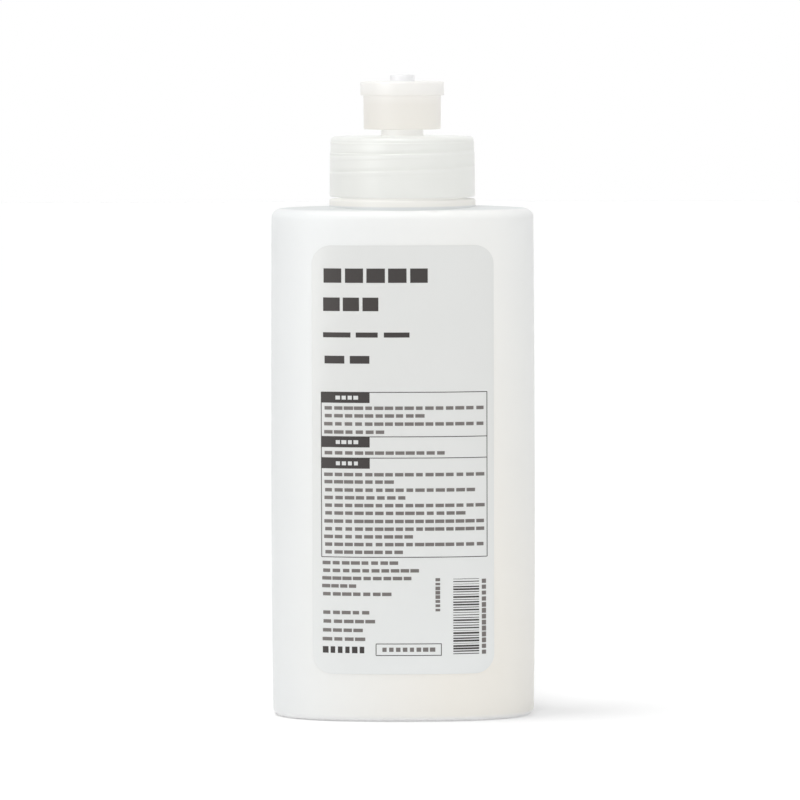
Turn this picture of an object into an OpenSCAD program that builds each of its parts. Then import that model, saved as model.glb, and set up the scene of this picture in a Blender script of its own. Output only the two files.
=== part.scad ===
// Dish soap bottle: a blown polyethylene bottle with an oval-cornered plan, a screw cap
// and a pull-up spout that seals on a fixed pin. Millimetres, +Z up, the front towards -Y.
// The origin is on the table, under the middle of the bottle.

/* [Body] */
// Width across the sides, at the shoulder and at the heel
body_w = 68.2; // [60:0.2:80]
// Depth from front to back, measured in the same places
body_d = 41; // [40:0.2:50]
// Height of the shoulder's rim above the table
body_h = 132.4; // [110:0.2:160]
// Power of the superellipse that the plan follows: 2 is an ellipse, 4 is nearly a box
plan_power = 2.5; // [2.2:0.1:4]
// How far each side swells outwards where the body is fullest
side_swell = 0.33; // [0:0.01:1]
// Height at which the body is fullest
swell_h = 45; // [30:1:70]
// Thickness of the blown wall
wall = 1; // [0.8:0.05:1.2]
// Thickness of the base, which cools thicker than the walls
base_wall = 1.3; // [1:0.05:1.8]
// Radius where the sides turn into the shoulder
shoulder_r = 2.4; // [1.6:0.1:3]
// Rise of the shoulder from its rim to the collar
shoulder_rise = 0.55; // [0.3:0.05:2]
// Radius where the sides turn into the base
heel_r = 1.8; // [1.4:0.1:3]
// Width of the flat ring that the bottle stands on
foot_w = 3; // [2:0.1:5]
// Height of the base's middle above the foot ring
push_up = 1.8; // [0.5:0.1:3]

/* [Neck] */
// Outside diameter of the neck, under the thread
neck_d = 31.8; // [30:0.1:33]
// Thickness of the neck's wall
neck_wall = 1.6; // [1.4:0.1:2]
// Height of the neck's lip above the collar
neck_h = 14.05; // [12:0.05:16]
// Height of the collar above the shoulder that it stands on
collar_h = 1.9; // [1.6:0.1:4]
// Thickness of the collar's wall
collar_wall = 1.2; // [1:0.05:1.5]
// How far the collar stands out beyond the cap
collar_over = 0.1; // [0:0.05:0.3]

/* [Cap] */
// Radial gap between the neck's thread and the cap's wall
thread_clear = 0.3; // [0.2:0.05:0.5]
// Height of the thread's ridge, on the neck and in the cap
thread_depth = 1.1; // [0.9:0.05:1.3]
// Thickness of the skirt's wall
skirt_wall = 1.3; // [1:0.05:1.8]
// How much the skirt's radius grows from top to bottom, so that it leaves its mould
skirt_draft = 0.35; // [0:0.05:0.5]
// Gap between the skirt's edge and the collar
skirt_gap = 0.65; // [0.3:0.05:1.5]
// Thickness of the deck
deck_t = 1.3; // [1:0.05:2]
// Radius of the cap's top edge
cap_edge_r = 1; // [0.4:0.1:1.2]
// Thickness of the sealing liner between the lip and the deck
liner_t = 0.9; // [0.6:0.05:1.5]
// Width of the liner's ring
liner_w = 3.4; // [2.5:0.1:4]

/* [Stem and pin] */
// Outside diameter of the stem that the nozzle slides on
stem_d = 11.06; // [10.5:0.02:11.5]
// Thickness of the stem's wall
stem_wall = 1.4; // [1:0.1:1.6]
// Height of the stem above the deck
stem_h = 12.5; // [11:0.1:14]
// How far the retaining bead stands out from the stem
bead_h = 0.35; // [0.25:0.05:0.5]
// Height of the retaining bead, along the stem
bead_t = 1.2; // [0.8:0.1:1.5]
// Diameter of the post inside the stem
post_d = 4; // [3:0.1:4.4]
// Number of ribs that carry the post
rib_n = 3; // [3:1:4]
// Thickness of a rib
rib_t = 0.9; // [0.7:0.1:1.2]
// Height of a rib, along the stem
rib_h = 2.8; // [2:0.1:4]
// Diameter of the sealing pin, which is the head of the post
pin_d = 6.5; // [6:0.1:6.8]
// How far the pin stands out of the closed nozzle
pin_out = 1.7; // [0.5:0.1:2.5]
// Length of the pin that sits below the orifice's inner edge
pin_in = 1.3; // [0.8:0.1:1.6]

/* [Nozzle] */
// Diameter of the outer skirt, under the flange
nozzle_d = 20.24; // [19.6:0.02:21]
// Diameter of the grip flange
flange_d = 21.8; // [21.4:0.1:23]
// Height of the grip flange
flange_h = 3.7; // [3:0.1:4.5]
// Thickness of the nozzle's top wall around the orifice
nozzle_top_t = 1.6; // [1.2:0.1:2]
// Thickness of the nozzle's outer skirt
nozzle_wall = 1.2; // [1:0.05:1.5]
// Gap between the closed nozzle's skirt and the deck
nozzle_gap = 1.9; // [1:0.1:3]
// Thickness of the sliding sleeve
sleeve_wall = 1.2; // [0.9:0.05:1.4]
// Travel of the nozzle from closed to open
nozzle_travel = 4.5; // [3.5:0.1:4.8]

/* [Label] */
// Distance from the film's edges to the body's sides, seen from the front
label_side = 10.6; // [9:0.2:16]
// Distance from the film's top edge to the shoulder's rim
label_top = 8.9; // [7:0.1:30]
// Height of the film's lower edge above the table
label_z = 12.5; // [8:0.5:40]
// Radius of the film's corners
label_r = 5; // [2:0.5:8]
// Thickness of the film
film_t = 0.12; // [0.08:0.01:0.2]

/* [Hidden] */

// Clearances: a sliding fit, a gap that two mating parts keep, and a cut's overrun
slide_fit = 0.05;
seat_gap = 0.25;
over = 0.5;

// Roundness of the turned forms, of the body's plan and of its fillets
turn_fn = 96;
plan_seg = 80;
fillet_seg = 5;

// Heights, from the table up
shoulder_top = body_h + shoulder_rise;
collar_top = shoulder_top + collar_h;
lip_z = collar_top + neck_h;
deck_low = lip_z + liner_t;
deck_top = deck_low + deck_t;
cap_low = collar_top + skirt_gap;
stem_top = deck_top + stem_h;
nozzle_ceiling = stem_top + seat_gap;
nozzle_top = nozzle_ceiling + nozzle_top_t;
flange_low = nozzle_top - flange_h;
nozzle_low = deck_top + nozzle_gap;
pin_top = nozzle_top + pin_out;
pin_low = nozzle_ceiling - pin_in;

// Radii, from the neck outwards and from the stem outwards
neck_r = neck_d / 2;
bore_r = neck_r - neck_wall;
thread_r = neck_r + thread_depth;
skirt_in_top = thread_r + thread_clear;
skirt_in_low = skirt_in_top + skirt_draft;
cap_top_r = skirt_in_top + skirt_wall;
cap_low_r = skirt_in_low + skirt_wall;
collar_r = cap_low_r + collar_over;
collar_in_r = collar_r - collar_wall;
stem_r = stem_d / 2;
stem_bore_r = stem_r - stem_wall;
pin_r = pin_d / 2;
nozzle_r = nozzle_d / 2;
flange_r = flange_d / 2;
sleeve_in_r = stem_r + slide_fit;
sleeve_r = stem_r + bead_h + 2 * slide_fit + sleeve_wall;

// The retaining bead and the land that stops under it when the nozzle is open
bead_low = stem_top - bead_t;
land_top = bead_low - nozzle_travel - 4 * slide_fit;
sleeve_low = nozzle_low + 0.5;

film_gap = 0.05;

// A number's power with its sign kept
function signed_pow(v, p) = sign(v) * pow(abs(v), p);

// Points of an arc around [x, y], both ends included
function arc(x, y, r, from, to, n = fillet_seg) =
    [for (i = [0:n]) let (a = from + (to - from) * i / n) [x + r * cos(a), y + r * sin(a)]];

// The body's swell at a height: a parabola on either side of the fullest place
function swell(z) =
    side_swell * max(0, 1 - pow((z - swell_h) / (z < swell_h ? swell_h : body_h - swell_h), 2));

// One ring of the body: half width, half depth, height and the power of its plan
function plan_ring(half_w, half_d, z, power = plan_power) =
    [for (i = [0:plan_seg - 1]) let (t = 360 * i / plan_seg)
        [half_w * signed_pow(cos(t), 2 / power), half_d * signed_pow(sin(t), 2 / power), z]];

// A ring on the body's side, moved outwards by grow, or inwards where that is negative
function side_ring(z, grow = 0) =
    plan_ring(body_w / 2 + swell(z) + grow, body_d / 2 + swell(z) + grow, z);

// Rings of the pushed-up base: flat in the middle, running out level at the foot ring
function base_rings(lift) =
    [for (f = [0.2, 0.45, 0.7, 0.88, 1])
        plan_ring(f * (body_w / 2 - heel_r - foot_w), f * (body_d / 2 - heel_r - foot_w),
                  lift + push_up * (1 + cos(180 * f)) / 2)];

// Rings of the heel, the sides and the shoulder's fillet, set in by inset. The heights of
// the side rings are spread evenly between the two fillets.
side_n = 6;
function wall_rings(inset, low_z, low_r, top_r, n) =
    let (top_z = body_h - inset, from = low_z + low_r, to = top_z - top_r)
    concat(
        [for (i = [0:n]) let (a = 90 * i / n, z = low_z + low_r * (1 - cos(a)))
            plan_ring(body_w / 2 + swell(z) - inset - low_r * (1 - sin(a)),
                      body_d / 2 + swell(z) - inset - low_r * (1 - sin(a)), z)],
        [for (i = [1:side_n]) side_ring(from + (to - from) * i / (side_n + 1), -inset)],
        [for (i = [0:n]) let (a = 90 * i / n, z = to + top_r * sin(a))
            plan_ring(body_w / 2 + swell(z) - inset - top_r * (1 - cos(a)),
                      body_d / 2 + swell(z) - inset - top_r * (1 - cos(a)), z)]);

// Closed skin through rings of equal length, with flat ends
module skin(rings) {
    n = len(rings[0]);
    m = len(rings);
    sides = [for (j = [0:m - 2], i = [0:n - 1])
        let (a = j * n + i, b = j * n + (i + 1) % n)
        each [[a, b + n, b], [a, a + n, b + n]]];
    low_end = [for (i = [0:n - 1]) i];
    top_end = [for (i = [n - 1:-1:0]) (m - 1) * n + i];
    polyhedron(points = [for (r = rings) each r], faces = concat([low_end, top_end], sides));
}

// Turned form from a half section
module turned(points) {
    rotate_extrude($fn = turn_fn) polygon(points);
}

// Outside of the blown body, up to a flat disc that the collar hides
module body_outside() {
    skin(concat(
        base_rings(0),
        wall_rings(0, 0, heel_r, shoulder_r, fillet_seg),
        [plan_ring((body_w / 2 - shoulder_r + collar_r) / 2, (body_d / 2 - shoulder_r + collar_r) / 2,
                   body_h + shoulder_rise * 0.6, (plan_power + 2) / 2),
         plan_ring(collar_r - wall / 2, collar_r - wall / 2, shoulder_top, 2)]));
}

// Inside of the blown body, one wall in from the outside
module body_inside() {
    heel_in = max(heel_r - wall, 0.8);
    shoulder_in = max(shoulder_r - wall, 0.6);
    skin(concat(
        base_rings(base_wall),
        wall_rings(wall, base_wall, heel_in, shoulder_in, 3),
        [plan_ring(collar_in_r - wall, collar_in_r - wall, shoulder_top - wall, 2)]));
}

// Collar and neck, turned in one with a rounded lip
module neck_outside() {
    lip_r = 0.4;
    turned(concat(
        [[0, shoulder_top - wall], [collar_r, shoulder_top - wall]],
        arc(collar_r - lip_r, collar_top - lip_r, lip_r, 0, 90),
        [[neck_r, collar_top]],
        arc(neck_r - lip_r, lip_z - lip_r, lip_r, 0, 90),
        [[0, lip_z]]));
}

// Space inside the collar and the neck
module neck_inside() {
    step_z = collar_top - collar_wall;
    turned([[0, shoulder_top - collar_wall], [collar_in_r, shoulder_top - collar_wall],
            [collar_in_r, step_z], [bore_r, step_z], [bore_r, lip_z + over], [0, lip_z + over]]);
}

module bottle() {
    color("whitesmoke")
    difference() {
        union() {
            body_outside();
            neck_outside();
        }
        body_inside();
        neck_inside();
    }
}

// Skirt and deck of the cap, open below
module cap_shell() {
    edge_in = seat_gap;
    turned(concat(
        [[skirt_in_low, cap_low], [cap_low_r, cap_low]],
        arc(cap_top_r - cap_edge_r, deck_top - cap_edge_r, cap_edge_r, 0, 90),
        [[0, deck_top], [0, deck_low]],
        arc(skirt_in_top - edge_in, deck_low - edge_in, edge_in, 90, 0)));
}

// Stem with its retaining bead, which is tapered above so that the nozzle snaps over it
module stem() {
    turned([[0, deck_low], [stem_r, deck_low], [stem_r, bead_low], [stem_r + bead_h, bead_low],
            [stem_r + bead_h, bead_low + bead_t / 2], [stem_r, stem_top], [0, stem_top]]);
}

// Post through the stem, with the sealing pin as its head
module post() {
    edge = 0.3;
    post_r = post_d / 2;
    turned(concat(
        [[0, deck_low], [post_r, deck_low], [post_r, pin_low - (pin_r - post_r)], [pin_r, pin_low]],
        arc(pin_r - edge, pin_top - edge, edge, 0, 90),
        [[0, pin_top]]));
}

module screw_cap() {
    color("white") {
        difference() {
            union() {
                cap_shell();
                stem();
            }
            translate([0, 0, deck_low - over])
                cylinder(r = stem_bore_r, h = stem_top - deck_low + 2 * over, $fn = turn_fn);
        }
        post();
        for (i = [0:rib_n - 1])
            rotate(360 * i / rib_n)
                translate([post_d / 4, -rib_t / 2, deck_low])
                    cube([stem_r - stem_wall / 2 - post_d / 4, rib_t, rib_h]);
    }
}

module nozzle() {
    skirt_taper = 0.08;
    edge = 0.5;
    under_edge = 0.3;
    skirt_in = nozzle_r - nozzle_wall;
    relief_r = stem_r + bead_h + 2 * slide_fit;
    orifice_r = pin_r + slide_fit;
    color("ivory")
    turned(concat(
        [[skirt_in - skirt_taper, nozzle_low], [nozzle_r - skirt_taper, nozzle_low], [nozzle_r, flange_low]],
        arc(flange_r - under_edge, flange_low + under_edge, under_edge, -90, 0),
        arc(flange_r - edge, nozzle_top - edge, edge, 0, 90),
        [[orifice_r + under_edge, nozzle_top], [orifice_r, nozzle_top - under_edge],
         [orifice_r, nozzle_ceiling], [relief_r, nozzle_ceiling], [relief_r, land_top],
         [sleeve_in_r, land_top], [sleeve_in_r, sleeve_low], [sleeve_r, sleeve_low],
         [sleeve_r, nozzle_ceiling], [skirt_in, nozzle_ceiling]]));
}

module sealing_liner() {
    liner_r = skirt_in_top - seat_gap;
    color("gainsboro")
    turned([[liner_r - liner_w, lip_z], [liner_r, lip_z],
            [liner_r, deck_low], [liner_r - liner_w, deck_low]]);
}

// Stretch of the body's side, grown outwards, that the film is cut from
module side_stretch(grow) {
    margin = 4;
    n = 6;
    low = label_z - margin;
    high = body_h - label_top + margin;
    skin([for (i = [0:n]) side_ring(low + (high - low) * i / n, grow)]);
}

// Rounded rectangle that the film is cut to, seen from the front
module label_outline() {
    corner_x = body_w / 2 - label_side - label_r;
    high = body_h - label_top - label_r;
    low = label_z + label_r;
    polygon(concat(
        arc(corner_x, high, label_r, 0, 90),
        arc(-corner_x, high, label_r, 90, 180),
        arc(-corner_x, low, label_r, 180, 270),
        arc(corner_x, low, label_r, 270, 360)));
}

module front_label() {
    color("lightgray")
    intersection() {
        difference() {
            side_stretch(film_gap + film_t);
            side_stretch(film_gap);
        }
        rotate([90, 0, 0])
            linear_extrude(height = body_d)
                label_outline();
    }
}

bottle();
screw_cap();
nozzle();
sealing_liner();
front_label();
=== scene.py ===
from math import atan2, cos, hypot, pi, radians, sin, tan

import bmesh
import bpy
from bpy.props import FloatProperty, FloatVectorProperty, IntProperty, PointerProperty
from mathutils import Matrix, Vector


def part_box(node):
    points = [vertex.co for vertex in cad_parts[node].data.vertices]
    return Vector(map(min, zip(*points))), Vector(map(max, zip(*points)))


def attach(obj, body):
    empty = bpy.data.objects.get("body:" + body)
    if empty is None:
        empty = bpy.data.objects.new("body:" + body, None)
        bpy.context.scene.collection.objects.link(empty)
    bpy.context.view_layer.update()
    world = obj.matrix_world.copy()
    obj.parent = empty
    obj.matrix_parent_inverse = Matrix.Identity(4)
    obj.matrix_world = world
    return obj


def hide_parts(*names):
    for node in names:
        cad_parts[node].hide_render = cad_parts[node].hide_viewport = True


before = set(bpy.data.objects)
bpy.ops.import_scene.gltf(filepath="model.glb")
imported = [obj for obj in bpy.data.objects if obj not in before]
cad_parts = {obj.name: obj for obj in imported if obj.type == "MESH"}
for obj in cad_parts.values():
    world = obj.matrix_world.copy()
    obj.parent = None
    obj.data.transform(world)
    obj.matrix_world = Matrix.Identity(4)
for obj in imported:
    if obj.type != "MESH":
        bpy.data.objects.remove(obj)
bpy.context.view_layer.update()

bl_info = {
    "name": "Dish soap bottle",
    "version": (1, 0, 0),
    "blender": (4, 5, 0),
    "location": "3D View > Sidebar > Bottle",
    "description": "Dresses the packed dish soap bottle in its plastics, threads, film and print",
    "category": "Object",
}

MM = 0.001
TAU = 2 * pi
# Steps and points of a fillet's arc in a turned section
ARC_STEPS = 5
ARC_POINTS = ARC_STEPS + 1
BOTTLE_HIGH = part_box("bottle")[1]
CAP_LOW, CAP_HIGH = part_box("screw_cap")
SPOUT_LOW, SPOUT_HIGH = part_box("nozzle")
LINER_LOW, LINER_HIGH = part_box("sealing_liner")
FILM_LOW, FILM_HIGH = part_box("front_label")


def linear(hex_colour):
    """sRGB hex colour to a linear RGBA colour."""
    parts = [int(hex_colour[i:i + 2], 16) / 255 for i in (1, 3, 5)]
    return [p / 12.92 if p <= 0.04045 else ((p + 0.055) / 1.055) ** 2.4 for p in parts] + [1]


def size_value(label, default, least, description):
    """A length in metres that a user would change."""
    return FloatProperty(name=label, description=description, default=default, min=least,
                         unit="LENGTH", precision=5)


def colour_value(label, hex_colour, description):
    """A colour that a user would change, given as sRGB hex."""
    return FloatVectorProperty(name=label, description=description, subtype="COLOR", size=3,
                               default=linear(hex_colour)[:3], min=0, max=1)


# Sizes and colours that a user would change

class BottleSizes(bpy.types.PropertyGroup):
    """Sizes of the blown bottle"""
    width: size_value("Body width", 68.2 * MM, 0.05,
                      "Width across the sides, at the shoulder and at the heel")
    depth: size_value("Body depth", 41 * MM, 0.03,
                      "Depth from front to back, at the shoulder and at the heel")
    rim_height: size_value("Rim height", 132.4 * MM, 0.1,
                           "Height of the shoulder's rim above the table")
    plan_power: FloatProperty(
        name="Plan power", description="Superellipse of the plan: 2 is an ellipse, 4 nearly a box",
        default=2.5, min=2, max=6)
    side_swell: size_value("Side swell", 0.33 * MM, 0,
                           "How far each side swells outwards where the body is fullest")
    swell_height: size_value("Swell height", 45 * MM, 0.01, "Height at which the body is fullest")
    wall: size_value("Wall", 1 * MM, 0.0005, "Thickness of the blown wall")
    seam: size_value("Parting seam", 0.04 * MM, 0,
                     "How far the mould's parting seam stands out of the sides")


class ThreadSizes(bpy.types.PropertyGroup):
    """Sizes of the screw thread on the neck and in the cap"""
    pitch: size_value("Pitch", 4.2 * MM, 0.002,
                      "Rise of the thread in one turn, as the cap's joints have it")
    neck_turns: FloatProperty(
        name="Neck turns", description="Turns of the ridge on the neck",
        default=1.5, min=0.5, max=2)
    cap_turns: FloatProperty(
        name="Cap turns", description="Turns of the ridge in the cap",
        default=1.75, min=0.5, max=2)
    depth: size_value("Depth", 1.1 * MM, 0.0003, "How far a ridge stands out of its wall")
    foot: size_value("Foot width", 1.8 * MM, 0.0005, "Height of the ridge where it leaves its wall")
    crest: size_value("Crest width", 0.8 * MM, 0.0001, "Height of the ridge at its crest")


class ClosureSizes(bpy.types.PropertyGroup):
    """Sizes of the cap and the spout"""
    skirt_wall: size_value("Skirt wall", 1.3 * MM, 0.0005, "Thickness of the cap's skirt")
    deck: size_value("Deck", 1.3 * MM, 0.0005, "Thickness of the cap's deck")
    rib_count: IntProperty(
        name="Ribs", description="Ribs that carry the sealing pin's post in the stem",
        default=3, min=2, max=6)
    rib_thickness: size_value("Rib thickness", 0.9 * MM, 0.0003, "Thickness of each rib")


class PrintSizes(bpy.types.PropertyGroup):
    """Sizes of the print on the film"""
    ink: size_value("Ink", 0.03 * MM, 0,
                    "Thickness of the ink, drawn thicker than real so that it shows")
    line: size_value("Rule", 0.2 * MM, 0.0001, "Width of the ruled lines")
    seed: IntProperty(
        name="Seed", description="Fixes the lengths of the bars", default=7, min=0)


class PlasticColours(bpy.types.PropertyGroup):
    """Colours of the plastics, the film and the ink"""
    body: colour_value("Bottle", "#F3F5F5",
                       "Blown polyethylene of the bottle")
    cap: colour_value("Cap", "#EEEFEB",
                      "Moulded polypropylene of the cap")
    spout: colour_value("Spout", "#FAF8F4",
                        "Moulded polyethylene of the spout, at its thick flange")
    liner: colour_value("Liner", "#EDEDEA",
                        "Pressed foam of the sealing liner")
    film: colour_value("Film", "#E4E5E3",
                       "Grey film on the front")
    ink: colour_value("Ink", "#322D2B",
                      "Warm dark ink of the bold bars, the rules and the stripes")
    fine_ink: colour_value("Fine print", "#746F6C",
                           "Grey that thin strokes of the same ink give from afar")


# Mesh helpers

def signed_power(value, power):
    """A number's power with its sign kept."""
    return (1 if value >= 0 else -1) * abs(value) ** power


def rounded(corners, steps=ARC_STEPS):
    """Section through corners (radius, height, fillet), each turned into an arc of its fillet."""
    section = []
    for i, (r, z, fillet) in enumerate(corners):
        here = Vector((r, z))
        back = Vector(corners[i - 1][:2]) - here
        ahead = Vector(corners[(i + 1) % len(corners)][:2]) - here
        if not fillet:
            section.append((r, z))
            continue
        half = back.angle(ahead) / 2
        reach = fillet / tan(half)
        back.normalize()
        ahead.normalize()
        centre = here + (back + ahead).normalized() * fillet / sin(half)
        first, last = here + back * reach - centre, here + ahead * reach - centre
        sweep = first.angle(last)
        if first.x * last.y - first.y * last.x < 0:
            sweep = -sweep
        for k in range(steps + 1):
            turned = Matrix.Rotation(sweep * k / steps, 2) @ first
            section.append(tuple(centre + turned))
    return section


def column(from_point, to_point, count):
    """Points between two points of a section, both left out."""
    return [tuple(Vector(from_point).lerp(Vector(to_point), k / count)) for k in range(1, count)]


def circles(section, angles):
    """One ring for each point of a turned section."""
    return [[(r * cos(a), r * sin(a), z) for a in angles] for r, z in section]


def even_angles(count):
    return [TAU * i / count for i in range(count)]


def loft(name, rings, joined=False):
    """Object through rings of equal length, each end closed by a pole, or last ring to first."""
    count = len(rings[0])
    points = [point for ring in rings for point in ring]
    faces = []
    for j in range(len(rings) if joined else len(rings) - 1):
        low, high = j * count, (j + 1) % len(rings) * count
        for i in range(count):
            k = (i + 1) % count
            faces.append((low + i, low + k, high + k, high + i))
    if not joined:
        last = (len(rings) - 1) * count
        for ring, start, turned in ((rings[0], 0, True), (rings[-1], last, False)):
            points.append(tuple(sum(axis) / count for axis in zip(*ring)))
            for i in range(count):
                k = (i + 1) % count
                one, other = (k, i) if turned else (i, k)
                faces.append((len(points) - 1, start + one, start + other))
    return mesh_object(name, points, faces)


def mesh_object(name, points, faces):
    mesh = bpy.data.meshes.new(name)
    mesh.from_pydata(points, [], faces)
    made = bpy.data.objects.new(name, mesh)
    bpy.context.scene.collection.objects.link(made)
    return made


def clean(piece, sharp_angle=34):
    """Merges doubles, turns faces outwards and shades all but sharp edges smooth."""
    shape = bmesh.new()
    shape.from_mesh(piece.data)
    bmesh.ops.remove_doubles(shape, verts=shape.verts, dist=0.0005 * MM)
    bmesh.ops.dissolve_degenerate(shape, edges=shape.edges, dist=0.0005 * MM)
    bmesh.ops.recalc_face_normals(shape, faces=shape.faces)
    shape.to_mesh(piece.data)
    shape.free()
    for face in piece.data.polygons:
        face.use_smooth = True
    piece.data.set_sharp_from_angle(angle=radians(sharp_angle))


def mark(piece, name, kind, values):
    """Stores one value for each point of a mesh."""
    layer = piece.data.attributes.new(name, kind, "POINT")
    layer.data.foreach_set("vector" if kind == "FLOAT_VECTOR" else "value", values)


def join(target, other):
    """Adds another object's mesh to the target's."""
    shape = bmesh.new()
    shape.from_mesh(target.data)
    shape.from_mesh(other.data)
    shape.to_mesh(target.data)
    shape.free()
    bpy.data.objects.remove(other)


# Node helpers

def add(tree, kind, *values, out=0, sockets=None, **settings):
    """Adds a node with its settings, its values or links in order or by name, and gives an output.

    A kind in capitals is the operation of a Math node.
    """
    if kind.isupper():
        kind, settings["operation"] = "ShaderNodeMath", kind
    made = tree.nodes.new(kind)
    for name, value in settings.items():
        setattr(made, name, value)
    for key, value in list(enumerate(values)) + list((sockets or {}).items()):
        if isinstance(value, bpy.types.NodeSocket):
            tree.links.new(value, made.inputs[key])
        elif value is not None:
            made.inputs[key].default_value = value
    return made.outputs[out] if len(made.outputs) else made


def new_tree(name, **inputs):
    """Geometry Nodes tree with named inputs, given as socket type=labels."""
    tree = bpy.data.node_groups.new(name, "GeometryNodeTree")
    tree.interface.new_socket("Geometry", in_out="OUTPUT", socket_type="NodeSocketGeometry")
    for kind, labels in {"Geometry": ["Geometry"], **inputs}.items():
        for label in labels:
            tree.interface.new_socket(label, in_out="INPUT", socket_type="NodeSocket" + kind)
    return tree, tree.nodes.new("NodeGroupInput").outputs


def run_tree(piece, tree, **values):
    """Runs a tree on a piece and keeps the plain mesh; a value's name has _ for each space."""
    modifier = piece.modifiers.new(tree.name, "NODES")
    modifier.node_group = tree
    for item in tree.interface.items_tree:
        key = item.name.lower().replace(" ", "_")
        if item.in_out == "INPUT" and key in values:
            modifier[item.identifier] = values[key]
    bpy.context.view_layer.update()
    seen = piece.evaluated_get(bpy.context.evaluated_depsgraph_get())
    mesh = bpy.data.meshes.new_from_object(seen)
    piece.modifiers.remove(modifier)
    piece.data = mesh
    mesh.name = piece.name


def thread_tree():
    """Pushes marked points of a turned wall to a helical ridge's crest radius."""
    tree, start = new_tree("Screw thread", Material=["Material"], Float=[
        "Pitch", "Turns", "End height", "End angle", "Foot", "Crest", "Crest radius", "Run out"])
    split = add(tree, "ShaderNodeSeparateXYZ", add(tree, "GeometryNodeInputPosition")).node.outputs
    angle = add(tree, "ARCTAN2", split[1], split[0])
    rise = add(tree, "SUBTRACT", split[2], start["End height"])
    rise_turns = add(tree, "DIVIDE", rise, start["Pitch"])
    back = add(tree, "SUBTRACT", start["End angle"], angle)
    back_turns = add(tree, "DIVIDE", back, TAU)
    phase = add(tree, "ADD", rise_turns, back_turns)
    turn = add(tree, "ROUND", phase)
    # Height off the nearest ridge's middle, and how far that place is from the thread's upper end
    off_turns = add(tree, "SUBTRACT", phase, turn)
    off_height = add(tree, "MULTIPLY", off_turns, start["Pitch"])
    off_middle = add(tree, "ABSOLUTE", off_height)
    along = add(tree, "SUBTRACT", back_turns, turn)
    left = add(tree, "SUBTRACT", start["Turns"], along)
    fade_in, fade_out = (add(tree, "DIVIDE", part, start["Run out"], use_clamp=True)
                         for part in (along, left))
    half_foot, half_crest = (add(tree, "DIVIDE", start[part], 2.0) for part in ("Foot", "Crest"))
    inside = add(tree, "SUBTRACT", half_foot, off_middle)
    flank = add(tree, "SUBTRACT", half_foot, half_crest)
    profile = add(tree, "DIVIDE", inside, flank, use_clamp=True)
    soft = add(tree, "ShaderNodeMapRange", profile, interpolation_type="SMOOTHSTEP")
    zone = add(tree, "GeometryNodeInputNamedAttribute", "thread_zone", data_type="FLOAT")
    strength = soft
    for part in (zone, fade_in, fade_out):
        strength = add(tree, "MULTIPLY", strength, part)
    spoke = add(tree, "ShaderNodeCombineXYZ", split[0], split[1])
    radius = add(tree, "ShaderNodeVectorMath", spoke, out="Value", operation="LENGTH")
    room = add(tree, "SUBTRACT", start["Crest radius"], radius)
    push = add(tree, "MULTIPLY", room, strength)
    share = add(tree, "DIVIDE", push, radius)
    offset = add(tree, "ShaderNodeVectorMath", spoke, sockets={"Scale": share}, operation="SCALE")
    moved = add(tree, "GeometryNodeSetPosition", start["Geometry"], sockets={"Offset": offset})
    whole = add(tree, "GeometryNodeRealizeInstances", moved)
    finished = add(tree, "GeometryNodeSetMaterial", whole, sockets={"Material": start["Material"]})
    add(tree, "NodeGroupOutput", finished)
    return tree


def rib_tree():
    """Joins ribs to a moulding, spread evenly round its axis."""
    tree, start = new_tree(
        "Post ribs", Int=["Count"], Vector=["Size", "Place"], Material=["Material"])
    block = add(tree, "GeometryNodeMeshCube", start["Size"])
    placed = add(tree, "GeometryNodeTransform", block, sockets={"Translation": start["Place"]})
    seats = add(tree, "GeometryNodePoints", start["Count"])
    number = add(tree, "GeometryNodeInputIndex")
    step = add(tree, "DIVIDE", TAU, start["Count"])
    angle = add(tree, "MULTIPLY", number, step)
    turned = add(tree, "ShaderNodeCombineXYZ", None, None, angle)
    ribs = add(tree, "GeometryNodeInstanceOnPoints", seats,
               sockets={"Instance": placed, "Rotation": turned})
    real = add(tree, "GeometryNodeRealizeInstances", ribs)
    merged = tree.nodes.new("GeometryNodeMeshBoolean")
    merged.operation = "UNION"
    merged.solver = "EXACT"
    tree.links.new(real, merged.inputs["Mesh 2"])
    tree.links.new(start["Geometry"], merged.inputs["Mesh 2"])
    finished = add(tree, "GeometryNodeSetMaterial", merged.outputs[0],
                   sockets={"Material": start["Material"]})
    add(tree, "NodeGroupOutput", finished)
    return tree


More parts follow.
